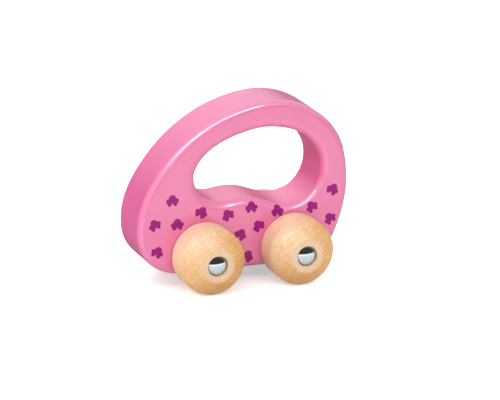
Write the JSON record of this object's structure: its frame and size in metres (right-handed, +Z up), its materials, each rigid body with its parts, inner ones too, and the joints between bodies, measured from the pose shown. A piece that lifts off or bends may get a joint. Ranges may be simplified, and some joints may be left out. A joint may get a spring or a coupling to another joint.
{
  "type": "pull back car",
  "caption": "Wooden hand-held pull back car with a rounded body, a hand hole through it, domed wheels with plated axle caps and a wind-up motor under the rear axle.",
  "frame": {"origin": "on the floor, under the middle of the car's length and width", "axes": "+X to the front of the car, the way it runs when released; +Y to its left side; +Z up"},
  "size_m": [0.1314, 0.0872, 0.1088],
  "materials": {
    "painted_wood": "satin lacquer over pink paint on beech",
    "turned_wood": "turned and sanded, clear satin varnish",
    "steel_rod": "bright drawn rod",
    "nylon": "natural nylon",
    "cap_chrome": "bright plated pressing",
    "spring_steel": "blued strip, lightly oiled",
    "case_plastic": "moulded, fine texture",
    "zinc_screw": "zinc plated",
    "gear_plastic": "moulded acetal"
  },
  "bodies": {
    "car_body": {"body": "painted_wood", "front_axle_bush_left": "nylon", "front_axle_bush_right": "nylon", "rear_axle_washer_left": "nylon", "rear_axle_washer_right": "nylon", "motor_case_left": "case_plastic", "motor_case_right": "case_plastic", "motor_case_screws": "zinc_screw", "motor_mount_screws": "zinc_screw"},
    "front_axle": {"front_axle": "steel_rod", "axle_cap_front_left": "cap_chrome", "axle_cap_front_right": "cap_chrome", "lock_washer_front_left": "spring_steel", "lock_washer_front_right": "spring_steel"},
    "front_left_wheel": {"front_left_wheel": "turned_wood"},
    "front_right_wheel": {"front_right_wheel": "turned_wood"},
    "rear_axle": {"rear_axle": "steel_rod", "rear_axle_gear": "gear_plastic", "rear_left_wheel": "turned_wood", "rear_right_wheel": "turned_wood", "axle_cap_rear_left": "cap_chrome", "axle_cap_rear_right": "cap_chrome", "lock_washer_rear_left": "spring_steel", "lock_washer_rear_right": "spring_steel"},
    "clutch_gear": {"clutch_gear": "gear_plastic", "clutch_gear_shaft": "steel_rod"},
    "spring_gear": {"spring_gear": "gear_plastic", "spring_arbor": "steel_rod", "mainspring": "spring_steel"}
  },
  "joints": [
    {"name": "rear_axle_turn", "type": "hinge", "parent": "car_body", "child": "rear_axle", "pos_m": [-0.03, 0, 0.02], "axis": [0, 1, 0], "continuous": true},
    {"name": "clutch_gear_turn", "type": "hinge", "parent": "car_body", "child": "clutch_gear", "pos_m": [-0.01869, 0, 0.024], "axis": [0, 1, 0], "continuous": true},
    {"name": "spring_gear_turn", "type": "hinge", "parent": "car_body", "child": "spring_gear", "pos_m": [-0.00707, 0, 0.021], "axis": [0, 1, 0], "continuous": true},
    {"name": "front_axle_turn", "type": "hinge", "parent": "car_body", "child": "front_axle", "pos_m": [0.0255, 0, 0.02], "axis": [0, 1, 0], "continuous": true},
    {"name": "front_left_wheel_turn", "type": "hinge", "parent": "front_axle", "child": "front_left_wheel", "pos_m": [0.0255, 0, 0.02], "axis": [0, 1, 0], "continuous": true},
    {"name": "front_right_wheel_turn", "type": "hinge", "parent": "front_axle", "child": "front_right_wheel", "pos_m": [0.0255, 0, 0.02], "axis": [0, 1, 0], "continuous": true}
  ],
  "couplings": [
    {"joint": "clutch_gear_turn", "follows": "rear_axle_turn", "ratio": -0.66667},
    {"joint": "spring_gear_turn", "follows": "rear_axle_turn", "ratio": 0.22222}
  ]
}
